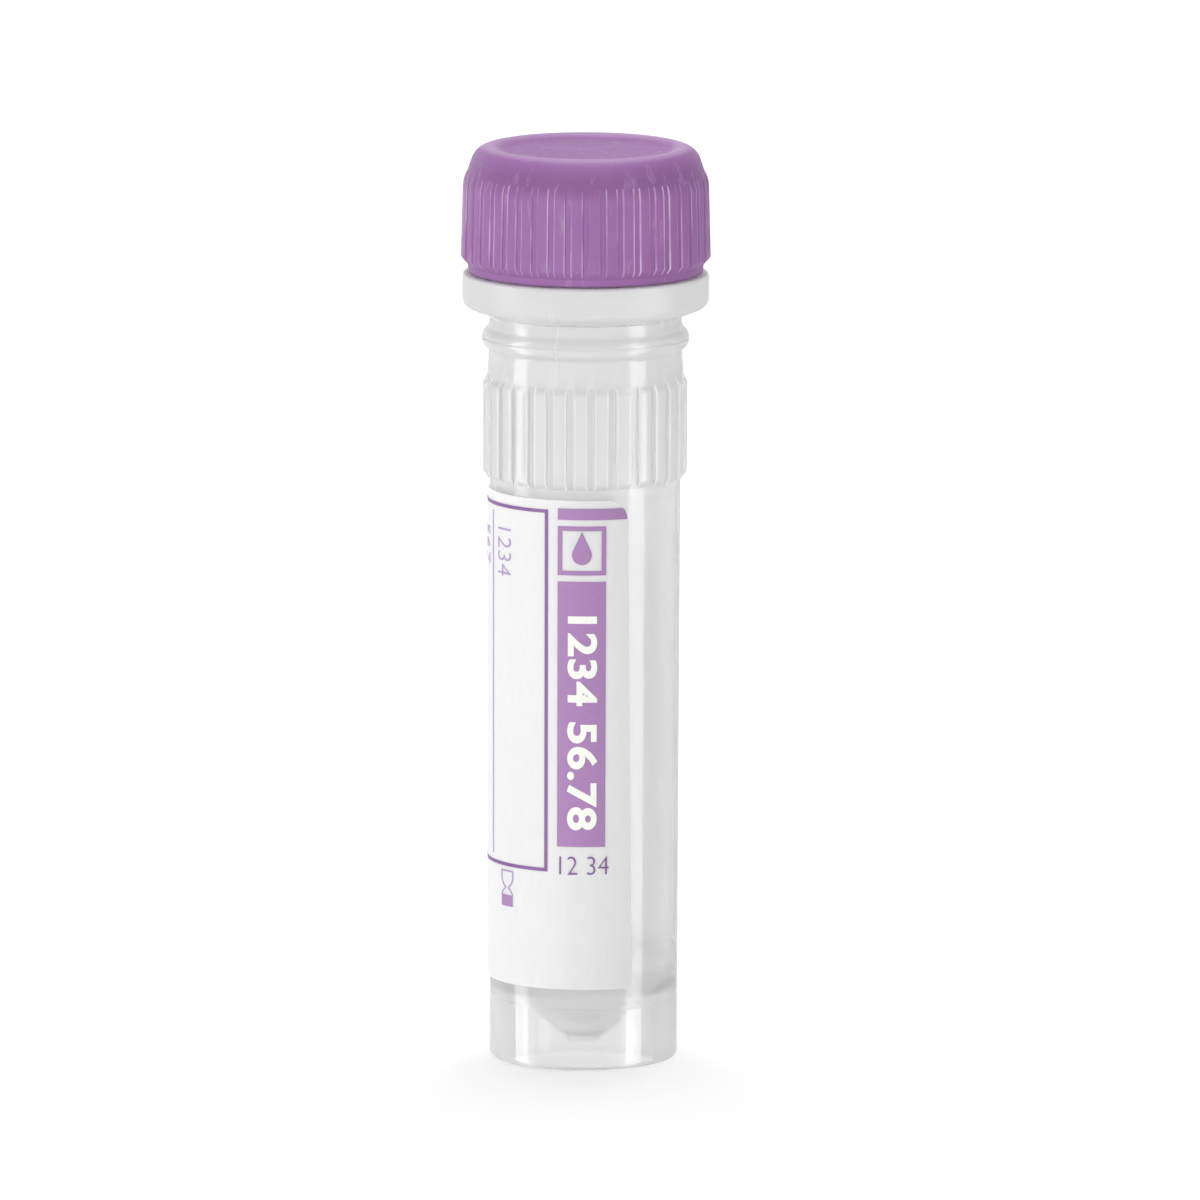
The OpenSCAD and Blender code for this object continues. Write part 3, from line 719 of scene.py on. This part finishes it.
def make_label(material):
    """The paper, with rows of points close together at its round corners. Columns left of upright_to don't
    lean with the free edge."""
    left, upright_to = LABEL_EDGE - LABEL_ARC, 12
    low, top = LABEL_Z + LABEL_LOW_CORNER, LABEL_TOP - LABEL_CORNER
    zs = [LABEL_Z + LABEL_LOW_CORNER * (1 - math.cos(math.radians(a))) for a in range(0, 90, 10)]
    zs += list(np.linspace(low, top, 24))
    zs += [LABEL_TOP - LABEL_CORNER * (1 - math.sin(math.radians(a))) for a in range(6, 91, 6)]

    def columns(z):
        lean = label_edge_at(z) - upright_to
        upright = list(np.linspace(left, upright_to, 120))
        return upright + [upright_to + lean * t for t in np.linspace(0.1, 1, 10)]

    label = new_object("wrapped_label", *sheet_on_tube(columns, zs, GLUE_T, LABEL_T), 40)
    return finish_piece(label, material, "tube", "label_paper", "label")


def field(left, right, low, high):
    """Verts and faces of one printed field on the label, between two angles and two heights."""
    steps = max(2, math.ceil(abs(right - left) / 2))
    rows = max(2, math.ceil((high - low) / 1.5) + 1)

    def columns(_):
        return list(np.linspace(left, right, steps + 1))

    return sheet_on_tube(columns, list(np.linspace(low, high, rows)), LABEL_T - INK_DEPTH, LABEL_T + INK_T)


def span(width):
    """The angle that a width in millimetres takes on the label."""
    return math.degrees(width / (BODY_R + LABEL_T))


def joined(pieces):
    """Verts and faces of several pieces as one."""
    verts, faces = [], []
    for more_verts, more_faces in pieces:
        faces += [tuple(i + len(verts) for i in face) for face in more_faces]
        verts += more_verts
    return verts, faces


def box_line(left, right, low, high, width):
    """The outline of a field, as four strips."""
    side = span(width)
    return [field(left, left + side, low, high), field(right - side, right, low, high),
            field(left + side, right - side, low, low + width),
            field(left + side, right - side, high - width, high)]


def flat_shape(shape, at_angle, at_z, lift=0.0):
    """A flat mesh wrapped on the label: x runs round it in millimetres and y up it. It's cut finely enough
    to bend."""
    cut_every = 0.2
    bm = bmesh.new()
    bm.from_mesh(shape)
    xs = [v.co.x for v in bm.verts]
    for cut in np.arange(min(xs) + cut_every, max(xs), cut_every):
        everything = bm.verts[:] + bm.edges[:] + bm.faces[:]
        bmesh.ops.bisect_plane(bm, geom=everything, plane_co=(cut, 0, 0), plane_no=(1, 0, 0))
    bm.verts.index_update()
    flat = [(v.co.x, v.co.y) for v in bm.verts]
    faces = [tuple(v.index for v in f.verts) for f in bm.faces]
    rim = [(e.verts[0].index, e.verts[1].index) for e in bm.edges if len(e.link_faces) == 1]
    bm.free()
    directed = {pair for f in faces for pair in zip(f, f[1:] + f[:1])}
    n = len(flat)
    verts = []
    for height in (LABEL_T - INK_DEPTH + lift, LABEL_T + INK_T + lift):
        for x, y in flat:
            z = at_z + y
            verts.append(on_label(at_angle + math.degrees(x / (body_r(z) + LABEL_T)), z, height))
    solid = [tuple(i + n for i in f) for f in faces] + [f[::-1] for f in faces]
    for a, b in rim:
        if (a, b) not in directed:
            a, b = b, a
        solid.append((b + n, a + n, a, b))
    return verts, solid


def polygon_mesh(points):
    """A flat mesh of one face."""
    mesh = bpy.data.meshes.new("outline")
    mesh.from_pydata([(x, y, 0) for x, y in points], [], [tuple(range(len(points)))])
    return mesh


def digits_mesh(text, tall, bold, squeeze, space=1.0, down=False):
    """Plain digits as a flat mesh, tall millimetres high. down makes them read downwards."""
    curve = bpy.data.curves.new("digits", "FONT")
    curve.body = text
    curve.size = tall / DIGIT_SHARE
    curve.space_character = space
    curve.offset = bold * tall
    curve.resolution_u = 5
    curve.align_x, curve.align_y = "CENTER", "CENTER"
    holder = bpy.data.objects.new("digits", curve)
    bpy.context.scene.collection.objects.link(holder)
    mesh = bpy.data.meshes.new_from_object(holder.evaluated_get(bpy.context.evaluated_depsgraph_get()))
    bpy.data.objects.remove(holder)
    bpy.data.curves.remove(curve)
    mesh.transform(Matrix.Diagonal((squeeze, 1, 1, 1)))
    if down:
        mesh.transform(Matrix.Rotation(-math.pi / 2, 4, "Z"))
    corners = np.array([v.co[:2] for v in mesh.vertices])
    middle = (corners.min(0) + corners.max(0)) / 2
    mesh.transform(Matrix.Translation((-middle[0], -middle[1], 0)))
    return mesh


def drop_points(r, tall):
    """Outline of a drop with its point up."""
    point = tall - r
    touch = math.degrees(math.asin(r / point))
    return [(0, point)] + arc((0, 0), r, 180 - touch, 360 + touch, 24)


def bar_points(z):
    """Outline of the bar along the label's top edge, whose right end leans with the label's corner."""
    left = math.radians(COLUMN_LEFT) * (BODY_R + LABEL_T)
    end = []
    for y in (0, 0.12, 0.24, 0.36, 0.46):
        end.append((math.radians(label_edge_at(z + y)) * (BODY_R + LABEL_T) - 0.03, y))
    right = end[-1][0]
    return [(left, 0)] + end + [(right - 0.07, 0.56), (right - 0.16, BAR_H), (left, BAR_H)]


def glass_field(low, high):
    """A field as wide as the hour-glass."""
    return field(GLASS_AT - span(GLASS_HALF), GLASS_AT + span(GLASS_HALF), low, high)


def glass_lines(z):
    """The hour-glass: two bent sides drawn with a thin line, and a lid."""
    half_line, waist = 0.04, 0.1
    side = [(-GLASS_HALF, GLASS_H), (-GLASS_HALF, 1.42), (-0.35, 1.2), (-waist, 0.99), (-0.35, 0.8),
            (-GLASS_HALF, GLASS_FILL)]
    lines = []
    for mirror in (-1, 1):
        for a, b in zip(side, side[1:]):
            run = Vector((b[0] - a[0], b[1] - a[1])).normalized() * half_line
            x, y = -run.y, run.x
            strip = [(a[0] + x, a[1] + y), (a[0] - x, a[1] - y), (b[0] - x, b[1] - y), (b[0] + x, b[1] + y)]
            strip = [(across * mirror, up) for across, up in strip]
            lines.append(flat_shape(polygon_mesh(strip[::-mirror]), GLASS_AT, z))
    lines.append(glass_field(z + 1.84, z + GLASS_H))
    return lines


def make_print(band_ink, line_ink, pale_ink, cream):
    """The label's print, one piece for each ink: band, bar, square and drop; thin lines; pale marks; and the
    figures left bare in the band."""
    bar_z = LABEL_TOP - 0.41 - BAR_H
    square_z = bar_z - COLUMN_GAP - SQUARE_H
    band_z = square_z - COLUMN_GAP - BAND_H
    frame_z = LABEL_TOP - 0.51 - FRAME_H
    glass_z = frame_z - 0.21 - GLASS_H
    middle = (COLUMN_LEFT + COLUMN_RIGHT) / 2

    def printed(name, shapes, material, slot="label_ink"):
        piece = new_object(name, *joined(shapes), 40)
        return finish_piece(piece, material, "tube", slot, "label_print")

    solid = [flat_shape(polygon_mesh(bar_points(bar_z)), 0, bar_z),
             field(COLUMN_LEFT, COLUMN_RIGHT, band_z, band_z + BAND_H)]
    solid += box_line(COLUMN_LEFT, COLUMN_RIGHT, square_z, square_z + SQUARE_H, 0.24)
    solid.append(flat_shape(polygon_mesh(drop_points(0.52, 1.75)), middle, square_z + 1.08))
    solid.append(glass_field(glass_z, glass_z + GLASS_FILL))
    out = [printed("label_ink", solid, band_ink)]

    lines = box_line(FRAME_RIGHT - FRAME_ARC, FRAME_RIGHT, frame_z, frame_z + FRAME_H, 0.18)
    lines.append(flat_shape(digits_mesh("12 34", 1.05, bold=-0.02, squeeze=0.9), middle + 1.8, 11.0))
    out.append(printed("line_ink", lines, line_ink))

    pale = [field(-70.4, -69.0, frame_z + 0.5, frame_z + 18.8)]
    for text, angle, z in (("1234", -56.0, 27.35), ("567", -83.0, 27.5)):
        pale.append(flat_shape(digits_mesh(text, 1.3, bold=-0.02, squeeze=0.82, down=True), angle, z))
    out.append(printed("pale_ink", pale + glass_lines(glass_z), pale_ink))

    digits = digits_mesh("1234 56.78", 1.5, bold=0.04, squeeze=1.22, space=1.05, down=True)
    figures = flat_shape(digits, middle + 0.5, 18.6, INK_T + 0.005)
    out.append(printed("band_figures", [figures], cream, "label_paper"))
    return out


# ---------------------------------------------------------------- camera, lamps, floor, in metres
def area_lamp(name, width, height, glow):
    """A soft box. glow is its brightness, which doesn't change with its size."""
    data = bpy.data.lights.new(name, "AREA")
    data.shape = "RECTANGLE"
    data.size, data.size_y = width, height
    data.energy = glow * math.pi * width * height
    lamp = bpy.data.objects.new(name, data)
    bpy.context.scene.collection.objects.link(lamp)
    return lamp


def strip_lamp(name, angle, width, height, glow, z=0.05, on_diffuse=True):
    """An upright soft box at an angle from the camera's side, positive to the right. Without on_diffuse it
    makes highlights only."""
    distance = 0.45
    lamp = area_lamp(name, width, height, glow)
    a = math.radians(angle)
    lamp.location = (distance * math.sin(a), -distance * math.cos(a), z)
    lamp.rotation_euler = (math.pi / 2, 0, a)
    lamp.visible_diffuse = on_diffuse
    return lamp


def lights_only(lamp, pieces):
    """Keeps a lamp's light to some pieces."""
    group = bpy.data.collections.new(lamp.name + "_lights")
    for piece in pieces:
        group.objects.link(piece)
    lamp.light_linking.receiver_collection = group


def make_camera():
    """The photo's angle: from a little above, with a long lens and a slight roll."""
    away, height, aim_x, aim_z, roll = 1.0, 0.19, 0.00081, 0.02433, math.radians(0.195)
    data = bpy.data.cameras.new("camera")
    data.sensor_width = 36
    data.lens = 577
    data.clip_start = 0.05
    data.clip_end = 20
    camera = bpy.data.objects.new("camera", data)
    camera.location = (aim_x, -away, height)
    down = math.atan2(height - aim_z, away)
    turn = Matrix.Rotation(math.pi / 2 - down, 3, "X") @ Matrix.Rotation(roll, 3, "Z")
    camera.rotation_euler = turn.to_euler()
    bpy.context.scene.collection.objects.link(camera)
    bpy.context.scene.camera = camera


def make_world(left, right, overhead, behind_right):
    """Soft studio light, brighter at the level of the eye than overhead, and from the camera's side than from
    behind. In reflections it is brightest in front and on the left, and dark overhead and on the
    right. What the camera sees past the floor is white, also through the plastic, where it dims a little
    towards the right."""
    world = bpy.data.worlds.new("studio")
    bpy.context.scene.world = world
    studio = Graph(world)
    toward = studio.split(studio.where("Generated"))
    rays = studio.add("ShaderNodeLightPath", {})

    def along(axis, low, high, start, end):
        return studio.spread(toward[axis], low, high, start, end)

    light = studio.maths("MULTIPLY", along("X", left, right, -0.8, 0.8), along("Z", 1.0, overhead, 0.1, 0.9))
    light = studio.maths("MULTIPLY", light, along("Y", 1.2, 0.6, -0.5, 0.5))
    mirrored = studio.maths("ADD", along("X", 1.2, 0.6, -0.9, 0.7), along("Y", 1.2, 0.0, -0.6, -0.1))
    mirrored = studio.maths("MULTIPLY", mirrored, along("Z", 1.0, 0.15, 0.15, 0.6))
    through = along("X", 1.0, behind_right, 0.1, 0.5)
    for ray, value in (("Is Glossy Ray", mirrored), ("Is Transmission Ray", through), ("Is Camera Ray", 1.0)):
        light = studio.mix(rays[ray], light, value, kind="FLOAT")
    back = studio.nodes["Background"]
    studio.feed((1, 1, 1), back.inputs["Color"])
    studio.feed(light, back.inputs["Strength"])


def make_floor():
    """A pale floor that keeps the object's shadow. It glows a little for the camera, also through the
    plastic, so that it comes out white."""
    size, low = 3.0, -0.03 * MM
    mesh = bpy.data.meshes.new("floor")
    corners = [(-size, -size, low), (size, -size, low), (size, size, low), (-size, size, low)]
    mesh.from_pydata(corners, [], [(0, 1, 2, 3)])
    floor = bpy.data.objects.new("floor", mesh)
    bpy.context.scene.collection.objects.link(floor)
    pale = Surface("floor")
    pale.set({"Base Color": (0.86, 0.86, 0.86), "Roughness": 0.9, "Specular IOR Level": 0.0})
    rays = pale.add("ShaderNodeLightPath", {})
    direct = pale.spread(rays["Is Camera Ray"], 0.0, 0.2, 0, 1)
    through = pale.spread(rays["Is Transmission Ray"], 0.0, 0.24, 0, 1)
    glow = pale.add("ShaderNodeEmission", {"Strength": pale.maths("MAXIMUM", direct, through)}, "Emission")
    both = pale.add("ShaderNodeAddShader", {0: pale.shader.outputs["BSDF"], 1: glow}, "Shader")
    pale.feed(both, pale.output.inputs["Surface"])
    mesh.materials.append(pale.material)
    floor.visible_glossy = False


make_camera()
make_world(left=1.2, right=0.96, overhead=0.38, behind_right=0.95)
make_floor()
left_strip = strip_lamp("left_strip", angle=-83, width=0.15, height=1.0, glow=4.9, on_diffuse=False)
right_strip = strip_lamp("right_strip", angle=65, width=0.17, height=1.0, glow=4.2, on_diffuse=False)
label_lamp = strip_lamp("label_lamp", angle=-58, width=0.25, height=0.5, glow=3.3)
cap_lamp = strip_lamp("cap_lamp", angle=-28, width=0.3, height=0.3, glow=2.6, z=0.0)
top_box = area_lamp("top_box", width=0.5, height=0.5, glow=3.2)
top_box.location = (0.0, 0.25, 0.6)

tube = make_tube(natural_plastic())
cap = make_cap(cap_plastic())
make_seal(seal_rubber())
label = make_label(label_paper())
prints = make_print(ink("band_ink", (0.36, 0.195, 0.415)), ink("line_ink", (0.19, 0.08, 0.27)),
                    ink("pale_ink", (0.42, 0.32, 0.53)), ink("cream_ink", (0.90, 0.91, 0.85)))

lights_only(left_strip, [tube])
lights_only(right_strip, [tube])
lights_only(label_lamp, [label] + prints)
lights_only(cap_lamp, [cap])

bpy.context.scene.view_settings.view_transform = "Standard"
